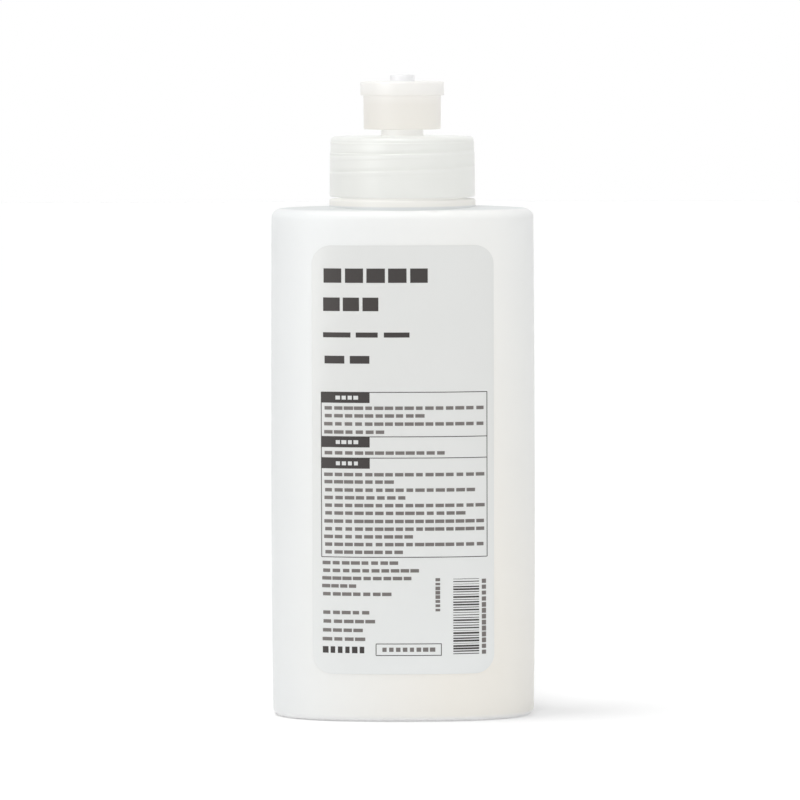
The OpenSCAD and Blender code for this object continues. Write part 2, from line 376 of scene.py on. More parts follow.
def print_tree():
    """Splits each row into bars, and lays them on the body's superellipse surface."""
    tree, start = new_tree(
        "Film print", Int=["Steps", "Seed"], Material=["Dark", "Pale"],
        Float=["Half width", "Half depth", "Power", "Swell", "Swell height", "Rim height", "Ink"])
    size = add(tree, "GeometryNodeInputNamedAttribute", "row_size", data_type="FLOAT_VECTOR")
    look = add(tree, "GeometryNodeInputNamedAttribute", "row_look", data_type="FLOAT_VECTOR")
    row = add(tree, "ShaderNodeSeparateXYZ", size).node.outputs
    # The look holds the number of bars, how much of its cell a bar fills and how much that varies
    cells = add(tree, "ShaderNodeSeparateXYZ", look).node.outputs
    copies = add(tree, "GeometryNodeDuplicateElements", start["Geometry"],
                 sockets={"Amount": cells[0]}, domain="POINT").node.outputs
    cell = add(tree, "DIVIDE", row[0], cells[0])
    place = add(tree, "ADD", copies[1], 0.5)
    along = add(tree, "MULTIPLY", place, cell)
    rows_offset = add(tree, "ShaderNodeCombineXYZ", along)
    upright = add(tree, "ShaderNodeCombineXYZ", None, None, along)
    stands = add(tree, "GREATER_THAN", row[1], 0.5)
    offset = add(tree, "ShaderNodeMix", stands, out="Result", data_type="VECTOR",
                 sockets={4: rows_offset, 5: upright})
    spread = add(tree, "GeometryNodeSetPosition", copies[0], sockets={"Offset": offset})
    chance = add(tree, "FunctionNodeRandomValue", data_type="FLOAT", out=1,
                 sockets={8: start["Seed"]})
    less = add(tree, "MULTIPLY", chance, cells[2])
    kept = add(tree, "SUBTRACT", cells[1], less)
    length = add(tree, "MULTIPLY", cell, kept)
    flat_scale = add(tree, "ShaderNodeCombineXYZ", length, start["Ink"], row[2])
    upright_scale = add(tree, "ShaderNodeCombineXYZ", row[2], start["Ink"], length)
    scale = add(tree, "ShaderNodeMix", stands, out="Result", data_type="VECTOR",
                sockets={4: flat_scale, 5: upright_scale})
    block = add(tree, "GeometryNodeMeshCube", (1, 1, 1), start["Steps"])
    bars = add(tree, "GeometryNodeInstanceOnPoints", spread,
               sockets={"Instance": block, "Scale": scale})
    real = add(tree, "GeometryNodeRealizeInstances", bars)
    # Front of the superellipse with the swell of that height
    at = add(tree, "ShaderNodeSeparateXYZ", add(tree, "GeometryNodeInputPosition")).node.outputs
    below = add(tree, "LESS_THAN", at[2], start["Swell height"])
    above_span = add(tree, "SUBTRACT", start["Rim height"], start["Swell height"])
    span = add(tree, "ShaderNodeMix", below, data_type="FLOAT",
               sockets={2: above_span, 3: start["Swell height"]})
    rise = add(tree, "SUBTRACT", at[2], start["Swell height"])
    share = add(tree, "DIVIDE", rise, span)
    squared = add(tree, "MULTIPLY", share, share)
    fullness = add(tree, "SUBTRACT", 1.0, squared, use_clamp=True)
    swell = add(tree, "MULTIPLY", fullness, start["Swell"])
    half_width = add(tree, "ADD", start["Half width"], swell)
    half_depth = add(tree, "ADD", start["Half depth"], swell)
    aside = add(tree, "ABSOLUTE", at[0])
    ratio = add(tree, "DIVIDE", aside, half_width)
    raised = add(tree, "POWER", ratio, start["Power"])
    rest = add(tree, "SUBTRACT", 1.0, raised)
    root = add(tree, "DIVIDE", 1.0, start["Power"])
    bowed = add(tree, "POWER", rest, root)
    depth = add(tree, "MULTIPLY", bowed, half_depth)
    front = add(tree, "SUBTRACT", at[1], depth)
    wrapped = add(tree, "ShaderNodeCombineXYZ", at[0], front, at[2])
    laid = add(tree, "GeometryNodeSetPosition", real, sockets={"Position": wrapped})
    whole = add(tree, "GeometryNodeRealizeInstances", laid)
    dark = add(tree, "GeometryNodeSetMaterial", whole, sockets={"Material": start["Dark"]})
    tone = add(tree, "GeometryNodeInputNamedAttribute", "row_pale", data_type="FLOAT")
    is_pale = add(tree, "GREATER_THAN", tone, 0.5)
    both = add(tree, "GeometryNodeSetMaterial", dark,
               sockets={"Selection": is_pale, "Material": start["Pale"]})
    add(tree, "NodeGroupOutput", both)
    return tree


# Colours and finishes

def shades(colour, share):
    """A linear colour a little darker and a little lighter, for the two ends of a ramp."""
    return [[min(part * factor, 1) for part in colour[:3]] + [1]
            for factor in (1 - share, 1 + share)]


def set_ends(ramp, colours):
    """Gives the two ends of a colour ramp their colours."""
    for end, colour in zip(ramp.node.color_ramp.elements, colours):
        end.color = colour


def finish(name, **values):
    """New material; values go to its shader's sockets, with _ for each space."""
    material = bpy.data.materials.new(name)
    material.use_nodes = True
    tree = material.node_tree
    for key, value in values.items():
        tree.nodes["Principled BSDF"].inputs[key.replace("_", " ")].default_value = value
    return material, tree, add(tree, "ShaderNodeTexCoord", out="Object")


def connect(material, **links):
    """Links outputs to a material's shader, with _ for each space, and gives the material."""
    tree = material.node_tree
    for key, value in links.items():
        tree.links.new(value, tree.nodes["Principled BSDF"].inputs[key.replace("_", " ")])
    return material


def seen_itself(tree):
    """1 where the camera, a gloss or a clear body sees the surface, 0 where it only gives light."""
    rays = add(tree, "ShaderNodeLightPath").node.outputs
    seen = add(tree, "MAXIMUM", rays["Is Camera Ray"], rays["Is Glossy Ray"])
    return add(tree, "MAXIMUM", seen, rays["Is Transmission Ray"])


# What the milky plastics share: a little light goes through, and it spreads evenly inside
MILKY = {"Transmission_Weight": 0.03, "Subsurface_Radius": (1, 1, 1)}
# How strongly the neck's ridge is painted on the skirt as light and shade
STREAK = 0.17
# Turns that keep the ridge's phase above zero and put its middle at a half
PHASE_SHIFT = 100.5


def blown_polyethylene(base):
    # Blown low-density polyethylene: milky, waxy satin skin with the mould's faint sandblast,
    # and thickness that wanders a little over some 36 mm, so its whiteness does too
    material, tree, place = finish(
        "blown_polyethylene", Roughness=0.45, IOR=1.51, Specular_IOR_Level=0.4,
        Subsurface_Weight=0.25, Subsurface_Scale=0.6 * MM, **MILKY)
    thickness = add(tree, "ShaderNodeTexNoise", place, sockets={"Scale": 28.0, "Detail": 2.0})
    whole = add(tree, "ShaderNodeValToRGB", thickness)
    set_ends(whole, shades(base, 0.02))
    across = add(tree, "ShaderNodeSeparateXYZ", place).node.outputs
    # A little warmer low down and towards the right; towards the right it is painted shade,
    # on the side away from the lamps
    low = add(tree, "ShaderNodeMapRange", across["Z"], 20 * MM, 130 * MM, 1.0, 0.3)
    right = add(tree, "ShaderNodeMapRange", across["X"], -34 * MM, 12 * MM, 0.0, 1.0)
    warmth_and_shade = add(tree, "MULTIPLY", low, right)
    # The blown wall is thinnest at the rounded sides; their greyer tone is partly that and partly
    # painted shade where the sides turn from the light, less of it low down, where the floor lights
    # them
    aside = add(tree, "ABSOLUTE", across["X"])
    side = add(tree, "ShaderNodeMapRange", aside, 24 * MM, 33 * MM, 0.0, 0.5)
    up = add(tree, "ShaderNodeMapRange", across["Z"], 0.0, 70 * MM, 0.3, 1.0)
    thin = add(tree, "MULTIPLY", side, up)
    # The flat of the shoulder is painted greyer than the rim around it: painted shade on the top,
    # which the light from above makes too bright. The stepped neck is thick and a little warmer.
    # The heel is the thickest of the wall, and its white is painted light that lifts the shade
    # where it stands.
    shoulder, neck, heel = (
        add(tree, "ShaderNodeMapRange", across["Z"], none, full) for none, full in (
            (132.3 * MM, 132.5 * MM), (COLLAR_TOP - 1.8 * MM, COLLAR_TOP - 1.4 * MM),
            (1.6 * MM, 0.5 * MM)))
    for share, tint in ((warmth_and_shade, "#F3F0E9"), (thin, "#E9EBEB"), (shoulder, "#DCDFDF"),
                        (neck, "#F0EFEA"), (heel, "#FFFFFF")):
        whole = add(tree, "ShaderNodeMix", share, out="Result", data_type="RGBA",
                    sockets={6: whole, 7: linear(tint)})
    # The sandblast's grain, about 0.4 mm, and waves of the wall some 9 mm long
    grain = add(tree, "ShaderNodeTexNoise", place, sockets={"Scale": 2400.0, "Detail": 1.0})
    waves = add(tree, "ShaderNodeTexNoise", place, sockets={"Scale": 110.0, "Detail": 0.0})
    fine = add(tree, "ShaderNodeBump", sockets={
        "Strength": 0.05, "Distance": 0.02 * MM, "Height": grain})
    bump = add(tree, "ShaderNodeBump", sockets={
        "Strength": 0.12, "Distance": 0.15 * MM, "Height": waves, "Normal": fine})
    return connect(material, Base_Color=whole, Normal=bump)


def moulded_polypropylene(base, pitch):
    # Injection-moulded natural polypropylene: clearer and glossier than the bottle. The neck's
    # ridge
    # behind the skirt is painted on it: a soft pale streak of painted light with a grey edge of
    # painted shade, climbing to the right.
    # Its flow marks are about 11 mm long.
    material, tree, place = finish(
        "moulded_polypropylene", Roughness=0.33, IOR=1.49, Specular_IOR_Level=0.5,
        Subsurface_Weight=0.3, Subsurface_Scale=0.6 * MM, **MILKY)
    flow = add(tree, "ShaderNodeTexNoise", place, sockets={"Scale": 90.0, "Detail": 2.0})
    whole = add(tree, "ShaderNodeValToRGB", flow)
    set_ends(whole, shades(base, 0.02))
    at = add(tree, "ShaderNodeSeparateXYZ", place).node.outputs
    angle = add(tree, "ARCTAN2", at["Y"], at["X"])
    back = add(tree, "SUBTRACT", RIDGE_END_ANGLE, angle)
    back_turns = add(tree, "DIVIDE", back, TAU)
    rise = add(tree, "SUBTRACT", at["Z"], RIDGE_END_HEIGHT)
    rise_turns = add(tree, "DIVIDE", rise, pitch)
    phase = add(tree, "ADD", rise_turns, back_turns)
    phase = add(tree, "ADD", phase, PHASE_SHIFT)
    off_ridge = add(tree, "FRACT", phase)
    streak = add(tree, "ShaderNodeValToRGB", off_ridge)
    ramp = streak.node.color_ramp
    grey = (0.5, 0.5, 0.5, 1)
    ramp.elements[0].position, ramp.elements[0].color = 0.3, grey
    ramp.elements[1].position, ramp.elements[1].color = 0.86, grey
    for position, level in ((0.42, 0.85), (0.55, 0.8), (0.66, 0.0)):
        ramp.elements.new(position).color = (level, level, level, 1)
    # The painted ridge shows only where the ridge is, and in patches some 17 mm wide
    above, below = (
        add(tree, "ShaderNodeMapRange", at["Z"], RIDGE_END_HEIGHT + none * MM,
            RIDGE_END_HEIGHT + full * MM) for none, full in ((-7, -5), (2, 1)))
    patchy = add(tree, "ShaderNodeTexNoise", place, sockets={"Scale": 60.0, "Detail": 1.0})
    patch = add(tree, "ShaderNodeMapRange", patchy, 0.35, 0.65, 0.4, 1.0)
    share = above
    for part in (below, patch, STREAK):
        share = add(tree, "MULTIPLY", share, part)
    # The stem is painted a little lighter and warmer than the skirt, painted light against the
    # shade under the spout, and the solid pin is whiter than the thin walls
    stem, pin = (add(tree, "ShaderNodeMapRange", at["Z"], none, full) for none, full in (
        (CAP_HIGH.z - 16 * MM, CAP_HIGH.z - 15.8 * MM),
        (SPOUT_HIGH.z - 2 * MM, SPOUT_HIGH.z - 1 * MM)))
    for solid, tint in ((stem, "#F0EFEC"), (pin, "#F6F6F7")):
        whole = add(tree, "ShaderNodeMix", solid, out="Result", data_type="RGBA",
                    sockets={6: whole, 7: linear(tint)})
    whole = add(tree, "ShaderNodeMix", share, out="Result", data_type="RGBA",
                blend_type="OVERLAY", sockets={6: whole, 7: streak})
    # Sink marks over the ridge, and the polish of the mould, about 1.4 mm
    polish = add(tree, "ShaderNodeTexNoise", place, sockets={"Scale": 700.0, "Detail": 1.0})
    fine = add(tree, "ShaderNodeBump", sockets={
        "Strength": 0.06, "Distance": 0.03 * MM, "Height": polish})
    sunk = add(tree, "MULTIPLY", streak, share)
    bump = add(tree, "ShaderNodeBump", sockets={
        "Strength": 1.0, "Distance": 1.2 * MM, "Height": sunk, "Normal": fine})
    return connect(material, Base_Color=whole, Normal=bump)


def moulded_polyethylene(base):
    # Injection-moulded high-density polyethylene: denser and creamier than the cap, waxy gloss,
    # with flow marks about 8 mm long and a skin that ripples over about 1 mm
    material, tree, place = finish(
        "moulded_polyethylene", Roughness=0.35, IOR=1.53, Specular_IOR_Level=0.5,
        Subsurface_Weight=0.3, Subsurface_Scale=0.8 * MM, **MILKY)
    flow = add(tree, "ShaderNodeTexNoise", place, sockets={"Scale": 120.0, "Detail": 2.0})
    height = add(tree, "ShaderNodeSeparateXYZ", place, out="Z")
    # The flange is thick and whiter; down the skirt the colour is painted darker and warmer,
    # painted shade of the gap behind it showing through
    level = add(tree, "ShaderNodeMapRange", height, SPOUT_HIGH.z - 6 * MM, SPOUT_HIGH.z - 2 * MM,
                0.0, 0.85)
    drift = add(tree, "MULTIPLY", flow, 0.15)
    mixed = add(tree, "ADD", level, drift)
    colour = add(tree, "ShaderNodeValToRGB", mixed)
    set_ends(colour, (linear("#F0EDE7"), (*base, 1)))
    skin = add(tree, "ShaderNodeTexNoise", place, sockets={"Scale": 900.0, "Detail": 1.0})
    bump = add(tree, "ShaderNodeBump", sockets={
        "Strength": 0.08, "Distance": 0.03 * MM, "Height": skin})
    return connect(material, Base_Color=colour, Normal=bump)


def liner_foam(base):
    # Pressed polyethylene foam: matt, with closed cells about 0.3 mm across
    material, tree, place = finish("liner_foam", Roughness=0.75, IOR=1.5)
    cells = add(tree, "ShaderNodeTexVoronoi", place, sockets={"Scale": 3300.0})
    colour = add(tree, "ShaderNodeValToRGB", cells)
    set_ends(colour, shades(base, 0.06))
    bump = add(tree, "ShaderNodeBump", sockets={
        "Strength": 0.3, "Distance": 0.05 * MM, "Height": cells})
    return connect(material, Base_Color=colour, Normal=bump)


def label_film(base):
    # Frosted polypropylene film, printed pale grey on its back: smoother than the bottle, so it
    # shows as a calm grey field with a thin edge. Its haze drifts over some 17 mm.
    material, tree, place = finish("label_film", Roughness=0.28, IOR=1.49, Specular_IOR_Level=0.6)
    haze = add(tree, "ShaderNodeTexNoise", place, sockets={"Scale": 60.0, "Detail": 2.0})
    colour = add(tree, "ShaderNodeValToRGB", haze)
    set_ends(colour, shades(base, 0.015))
    # Lighter towards the base: painted light of the floor's bounce
    height = add(tree, "ShaderNodeSeparateXYZ", place, out="Z")
    low = add(tree, "ShaderNodeMapRange", height, 10 * MM, 70 * MM, 1.0, 0.0)
    painted_floor_light = add(tree, "ShaderNodeMix", low, out="Result", data_type="RGBA",
                 sockets={6: colour, 7: linear("#EAECEB")})
    # The frosting, finer than it shows, is drawn about 0.6 mm coarse
    frost = add(tree, "ShaderNodeTexNoise", place, sockets={"Scale": 1800.0, "Detail": 1.0})
    bump = add(tree, "ShaderNodeBump", sockets={
        "Strength": 0.05, "Distance": 0.02 * MM, "Height": frost})
    return connect(material, Base_Color=painted_floor_light, Normal=bump)


def printing_ink(name, base, vary=0.16):
    # Screen-printed ink: a matt layer whose cover varies with the 0.4 mm mesh it went through
    material, tree, place = finish(name, Roughness=0.5, IOR=1.5)
    cover = add(tree, "ShaderNodeTexNoise", place, sockets={"Scale": 2500.0, "Detail": 2.0})
    colour = add(tree, "ShaderNodeValToRGB", cover)
    set_ends(colour, shades(base, vary))
    return connect(material, Base_Color=colour)


# Sections and rings of the bottle

SEAM_ANGLES = (-0.004, -0.002, 0.002, 0.004)
PLAN_COUNT = 200
PLAN_ANGLES = sorted(even_angles(PLAN_COUNT) + [
    (side + extra) % TAU for side in (0, pi) for extra in SEAM_ANGLES])
COLLAR_RADIUS = 19.05 * MM
COLLAR_IN_RADIUS = 17.85 * MM
COLLAR_TOP = 134.85 * MM
NECK_RADIUS = 15.9 * MM
BORE_RADIUS = 14.3 * MM
SHOULDER_RADIUS = 2.4 * MM
SHOULDER_RISE = 0.55 * MM
HEEL_RADIUS = 1.8 * MM
FOOT = 3 * MM
PUSH_UP = 1.8 * MM
BASE_WALL = 1.3 * MM
PINCH = 0.25 * MM
STEP_HEIGHT = 0.34 * MM
STEP_DEPTH = 0.11 * MM
FILM_GAP = 0.05 * MM
FILM_THICKNESS = 0.12 * MM
FILM_CORNER = 5 * MM
# Underside of the collar's step, inside the bottle
COLLAR_UNDER = COLLAR_TOP - 1.2 * MM
# Half of the parting seam's width, as a sine of the angle round the plan
SEAM_HALF = 0.003
# Upper end of the ridge on the neck
RIDGE_END_HEIGHT = BOTTLE_HIGH.z - 1.8 * MM
RIDGE_END_ANGLE = radians(-30)
# Share of a turn in which a ridge runs out, and points up the plain walls that carry one
RUN_OUT = 0.07
NECK_COLUMN, SKIRT_COLUMN = 66, 76
# Room from the neck's wall to the cap's ridge, and the share of the pitch that it runs lower
THREAD_GAP = 0.3 * MM
RIDGE_DROP = 0.42
LINER_THICKNESS = 0.9 * MM
STEM_HEIGHT = 12.5 * MM
# Depths below the deck's top of the two shallow steps on the skirt
STEP_PLACES = (4.2 * MM, 1.4 * MM)
# Top wall of the spout, the pin's head below it, and the step between sleeve and relief
SPOUT_WALL = 1.6 * MM
PIN_HEAD = 1.3 * MM
SLEEVE_STEP = 157.7 * MM


def swell_at(sizes, z):
    """The body's swell at a height: a parabola on either side of the fullest place."""
    span = sizes.swell_height if z < sizes.swell_height else sizes.rim_height - sizes.swell_height
    return sizes.side_swell * max(0, 1 - ((z - sizes.swell_height) / span) ** 2)


def plan_point(half_width, half_depth, power, angle):
    return (half_width * signed_power(cos(angle), 2 / power),
            half_depth * signed_power(sin(angle), 2 / power))


def seam_share(angle):
    """1 on the parting seam at either side, 0 a little off it."""
    return max(0, 1 - abs(sin(angle)) / SEAM_HALF)


def plan_ring(sizes, z, inset, seam=0.0):
    """One ring of the body, set in from its outside."""
    half_width = sizes.width / 2 + swell_at(sizes, z) - inset
    half_depth = sizes.depth / 2 + swell_at(sizes, z) - inset
    ring = []
    for angle in PLAN_ANGLES:
        x, y = plan_point(half_width, half_depth, sizes.plan_power, angle)
        ring.append((x + (1 if x > 0 else -1) * seam * seam_share(angle), y, z))
    return ring


def base_rings(sizes, lift, shares, pinch=0.0):
    """Rings of the pushed-up base with the mould's pinch-off ridge along the width."""
    rings = []
    for share in shares:
        z = lift + PUSH_UP * (1 + cos(pi * share)) / 2
        half_width = share * (sizes.width / 2 - HEEL_RADIUS - FOOT)
        half_depth = share * (sizes.depth / 2 - HEEL_RADIUS - FOOT)
        # It fades out well inside the foot ring, which alone stands on the table
        ridge = pinch * min(1, max(0, 0.9 - share) * 5)
        rings.append([plan_point(half_width, half_depth, sizes.plan_power, angle)
                      + (z - ridge * seam_share(angle),) for angle in PLAN_ANGLES])
    return rings


def heel_rings(sizes, inset, low, radius, steps, seam=0.0):
    rings = []
    for k in range(steps + 1):
        turn = pi / 2 * k / steps
        rings.append(plan_ring(sizes, low + radius * (1 - cos(turn)),
                               inset + radius * (1 - sin(turn)), seam * k / steps))
    return rings


def circle_inset(sizes, start, radius, angle):
    """How far in from the outside the plan meets a circle, in one direction of the plan."""
    near, far = start, sizes.depth
    for _ in range(40):
        middle = (near + far) / 2
        x, y = plan_point(sizes.width / 2 - middle, max(sizes.depth / 2 - middle, 0),
                          sizes.plan_power, angle)
        if hypot(x, y) > radius:
            near = middle
        else:
            far = middle
    return near


def shoulder_rings(sizes, inset, fillet, circle, steps, seam=0.0):
    """Rings of the fillet and the shoulder, which end where they meet a circle round the axis."""
    rim = sizes.rim_height - inset
    ends = [circle_inset(sizes, inset, circle, angle) for angle in PLAN_ANGLES]
    widest = max(ends) - inset
    insets = [fillet * (1 - cos(pi / 2 * k / steps)) for k in range(1, steps + 1)]
    insets += [fillet + (widest - fillet) * k / steps for k in range(1, steps + 1)]
    rings = []
    for depth in insets:
        ring = []
        for angle, end in zip(PLAN_ANGLES, ends):
            here = min(depth, end - inset)
            if here < fillet:
                z = rim - fillet + (fillet ** 2 - (fillet - here) ** 2) ** 0.5
            else:
                z = rim + SHOULDER_RISE * sin(pi / 2 * (here - fillet) / (widest - fillet))
            x, y = plan_point(sizes.width / 2 - inset - here, sizes.depth / 2 - inset - here,
                              sizes.plan_power, angle)
            x += (1 if x > 0 else -1) * seam * seam_share(angle) * max(0, 1 - here / fillet)
            ring.append((x, y, z))
        rings.append(ring)
    return rings


def body_sides(sizes, inset, low, high, count, seam=0.0):
    """Rings of the plain sides, the lowest left out."""
    return [plan_ring(sizes, low + (high - low) * k / count, inset, seam)
            for k in range(1, count + 1)]


class BOTTLE_OT_shell(bpy.types.Operator):
    """Make the blown bottle with its shoulder, collar, neck thread and inside"""
    bl_idname = "bottle.shell"
    bl_label = "Blown bottle"

    def execute(self, context):
        sizes, thread = context.scene.bottle_sizes, context.scene.thread_sizes
        plastic = blown_polyethylene(context.scene.plastic_colours.body)
        lip = BOTTLE_HIGH.z
        side_top = sizes.rim_height - SHOULDER_RADIUS
        shares = (0.04, 0.1, 0.2, 0.32, 0.44, 0.56, 0.66, 0.76, 0.84, 0.92, 1)
        outside = base_rings(sizes, 0, shares, PINCH)
        outside += heel_rings(sizes, 0, 0, HEEL_RADIUS, 8, sizes.seam)
        outside += body_sides(sizes, 0, HEEL_RADIUS, side_top, 30, sizes.seam)
        outside += shoulder_rings(sizes, 0, SHOULDER_RADIUS, COLLAR_RADIUS, 10, sizes.seam)
        angles = [atan2(y, x) for x, y, z in outside[-1]]
        collar = rounded([
            (COLLAR_RADIUS, sizes.rim_height + SHOULDER_RISE, 0),
            (COLLAR_RADIUS, COLLAR_TOP, 0.4 * MM), (NECK_RADIUS, COLLAR_TOP, 0.5 * MM),
            (NECK_RADIUS, lip, 0.4 * MM), (BORE_RADIUS, lip, 0.3 * MM),
            (BORE_RADIUS, COLLAR_UNDER, 0.5 * MM), (COLLAR_IN_RADIUS, COLLAR_UNDER, 0.5 * MM)])
        # The neck's plain wall starts after the first corner and two arcs
        split = 1 + 2 * ARC_POINTS
        wall = column(collar[split - 1], collar[split], NECK_COLUMN)
        neck = circles(collar[1:split] + wall + collar[split:], angles)
        fillet = SHOULDER_RADIUS - sizes.wall
        inside = shoulder_rings(sizes, sizes.wall, fillet, COLLAR_IN_RADIUS, 6)
        low = BASE_WALL + HEEL_RADIUS - sizes.wall
        sides = body_sides(sizes, sizes.wall, low, side_top, 14)
        heel = heel_rings(sizes, sizes.wall, BASE_WALL, HEEL_RADIUS - sizes.wall, 4)
        base = base_rings(sizes, BASE_WALL, (0.08, 0.3, 0.5, 0.7, 0.85, 1))
        rings = outside + neck + inside[::-1] + sides[::-1] + heel[::-1] + base[::-1]
        piece = loft("bottle_shell", rings)
        zone = []
        for number, ring in enumerate(rings):
            on_neck = len(outside) <= number < len(outside) + split - 1 + len(wall)
            x, y, z = ring[0]
            free = z > COLLAR_TOP + 0.6 * MM and hypot(x, y) > NECK_RADIUS - 0.05 * MM
            zone += [1.0 if on_neck and free else 0.0] * len(ring)
        mark(piece, "thread_zone", "FLOAT", zone + [0.0, 0.0])
        run_tree(piece, thread_tree(), pitch=thread.pitch, turns=thread.neck_turns,
                 end_height=RIDGE_END_HEIGHT, end_angle=RIDGE_END_ANGLE, foot=thread.foot,
                 crest=thread.crest, crest_radius=NECK_RADIUS + thread.depth, run_out=RUN_OUT,
                 material=plastic)
        clean(piece)
        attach(piece, "bottle")
        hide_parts("bottle")
        # Light passes through the milky wall, so the crease where it stands doesn't go dark
        piece.visible_diffuse = False
        return {"FINISHED"}


class BOTTLE_OT_cap(bpy.types.Operator):
    """Make the screw cap with its stem, retaining bead, inside thread and sealing pin"""
    bl_idname = "bottle.cap"
    bl_label = "Screw cap"

    def execute(self, context):
        thread, closure = context.scene.thread_sizes, context.scene.closure_sizes
        lip = BOTTLE_HIGH.z
        low, deck_low = CAP_LOW.z, lip + LINER_THICKNESS
        deck_top = deck_low + closure.deck
        stem_top = deck_top + STEM_HEIGHT
        skirt_in_top, skirt_in_low = 17.3 * MM, 17.65 * MM
        top_radius = skirt_in_top + closure.skirt_wall
        low_radius = skirt_in_low + closure.skirt_wall
        stem, bore, bead = 5.53 * MM, 4.13 * MM, 0.35 * MM
        bead_low = stem_top - 1.2 * MM
        section = rounded([
            (skirt_in_low, low, 0.2 * MM), (low_radius, low, 0.25 * MM),
            (top_radius, deck_top, 1 * MM), (skirt_in_top, deck_top, 0),
            (skirt_in_top, deck_low, 0)])
        # Two shallow steps run round the skirt, where the plate and the thread stiffen it inside
        steps = []
        taper = low_radius - top_radius - 2 * STEP_DEPTH
        for number, place in enumerate(STEP_PLACES):
            for k in range(7):
                z = deck_top - place + STEP_HEIGHT * (k / 6 - 0.5)
                passed = number + (1 - cos(pi * k / 6)) / 2
                tapered = low_radius - taper * (z - low) / (deck_top - low)
                steps.append((tapered - STEP_DEPTH * passed, z))
        # They come after the arcs of the skirt's two lower corners
        outer = 2 * ARC_POINTS
        section[outer:outer] = steps
        wall = column(section[-1], section[0], SKIRT_COLUMN)
        angles = even_angles(160)
        piece = loft("cap_moulding", circles(section + wall, angles), joined=True)
        zone = [0.0] * (len(section) * len(angles)) + [1.0] * (len(wall) * len(angles))
        mark(piece, "thread_zone", "FLOAT", zone)
        ridge_low = low + thread.foot
        ridge_top = ridge_low + thread.pitch * thread.cap_turns
        # The cap's ridge runs under the neck's, so its end is turned back by the height between
        neck_ridge = RIDGE_END_HEIGHT - thread.pitch * RIDGE_DROP
        end_angle = RIDGE_END_ANGLE - TAU * (neck_ridge - ridge_top) / thread.pitch
        plastic = moulded_polypropylene(context.scene.plastic_colours.cap, thread.pitch)
        run_tree(piece, thread_tree(), pitch=thread.pitch, turns=thread.cap_turns,
                 end_height=ridge_top, end_angle=end_angle, foot=thread.foot, crest=thread.crest,
                 crest_radius=NECK_RADIUS + THREAD_GAP, run_out=RUN_OUT, material=plastic)
        clean(piece)
        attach(piece, "cap")
        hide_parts("screw_cap")
        # Milky plastic hardly shades what is close to it, so the gap under the skirt stays bright
        piece.visible_diffuse = piece.visible_shadow = False
        deck_section = rounded([
            (skirt_in_top, deck_low, 0), (skirt_in_top, deck_top, 0),
            (stem, deck_top, 0.4 * MM), (stem, bead_low, 0), (stem + bead, bead_low, 0.1 * MM),
            (stem + bead, stem_top - 0.6 * MM, 0.15 * MM), (stem, stem_top, 0.1 * MM),
            (bore, stem_top, 0.2 * MM), (bore, deck_low, 0.2 * MM)])
        deck = loft("cap_deck", circles(deck_section, angles), joined=True)
        pin, post, pin_top = 3.25 * MM, 2 * MM, CAP_HIGH.z
        pin_low = SPOUT_HIGH.z - SPOUT_WALL - PIN_HEAD
        post_section = rounded([
            (0, deck_low, 0), (post, deck_low, 0.2 * MM),
            (post, pin_low - (pin - post), 0.4 * MM), (pin, pin_low, 0.2 * MM),
            (pin, pin_top, 0.3 * MM), (0, pin_top, 0)])
        join(deck, loft("post", circles(post_section[1:-1], angles)))
        rib_height, reach = 2.8 * MM, (bore + stem) / 2 - post / 2
        gap = 0.05 * MM
        run_tree(deck, rib_tree(), count=closure.rib_count,
                 size=(reach, closure.rib_thickness, rib_height),
                 place=(post / 2 + reach / 2, 0, deck_low + gap + rib_height / 2), material=plastic)
        clean(deck)
        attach(deck, "cap")
        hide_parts("screw_cap")
        deck.visible_shadow = False
        return {"FINISHED"}


class BOTTLE_OT_spout(bpy.types.Operator):
    """Make the pull-up spout with its grip flange, orifice and sliding sleeve"""
    bl_idname = "bottle.spout"
    bl_label = "Pull-up spout"

    def execute(self, context):
        top, low = SPOUT_HIGH.z, SPOUT_LOW.z
        ceiling, flange_low = top - SPOUT_WALL, top - 3.7 * MM
        skirt, flange, skirt_in = 10.12 * MM, 10.9 * MM, 8.92 * MM
        orifice, relief, sleeve_in, sleeve = 3.3 * MM, 5.98 * MM, 5.58 * MM, 7.18 * MM
        taper = 0.08 * MM
        section = rounded([
            (skirt_in - taper, low, 0.15 * MM), (skirt - taper, low, 0.25 * MM),
            (skirt, flange_low, 0.15 * MM), (flange, flange_low, 0.3 * MM), (flange, top, 0.5 * MM),
            (orifice, top, 0.3 * MM), (orifice, ceiling, 0.15 * MM), (relief, ceiling, 0.15 * MM),
            (relief, SLEEVE_STEP, 0), (sleeve_in, SLEEVE_STEP, 0),
            (sleeve_in, low + 0.5 * MM, 0.15 * MM), (sleeve, low + 0.5 * MM, 0.15 * MM),
            (sleeve, ceiling, 0.2 * MM), (skirt_in, ceiling, 0.2 * MM)])
        piece = loft("spout_moulding", circles(section, even_angles(192)), joined=True)
        piece.visible_diffuse = piece.visible_shadow = False
        piece.data.materials.append(moulded_polyethylene(context.scene.plastic_colours.spout))
        clean(piece)
        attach(piece, "spout")
        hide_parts("nozzle")
        return {"FINISHED"}


class BOTTLE_OT_liner(bpy.types.Operator):
    """Make the foam ring that seals the neck's lip"""
    bl_idname = "bottle.liner"
    bl_label = "Sealing liner"

    def execute(self, context):
        outer, inner = LINER_HIGH.x, LINER_HIGH.x - 3.4 * MM
        section = rounded([
            (inner, LINER_LOW.z, 0.1 * MM), (outer, LINER_LOW.z, 0.1 * MM),
            (outer, LINER_HIGH.z, 0.1 * MM), (inner, LINER_HIGH.z, 0.1 * MM)], steps=3)
        piece = loft("liner_ring", circles(section, even_angles(128)), joined=True)
        piece.data.materials.append(liner_foam(context.scene.plastic_colours.liner))
        clean(piece)
        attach(piece, "seal")
        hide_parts("sealing_liner")
        return {"FINISHED"}


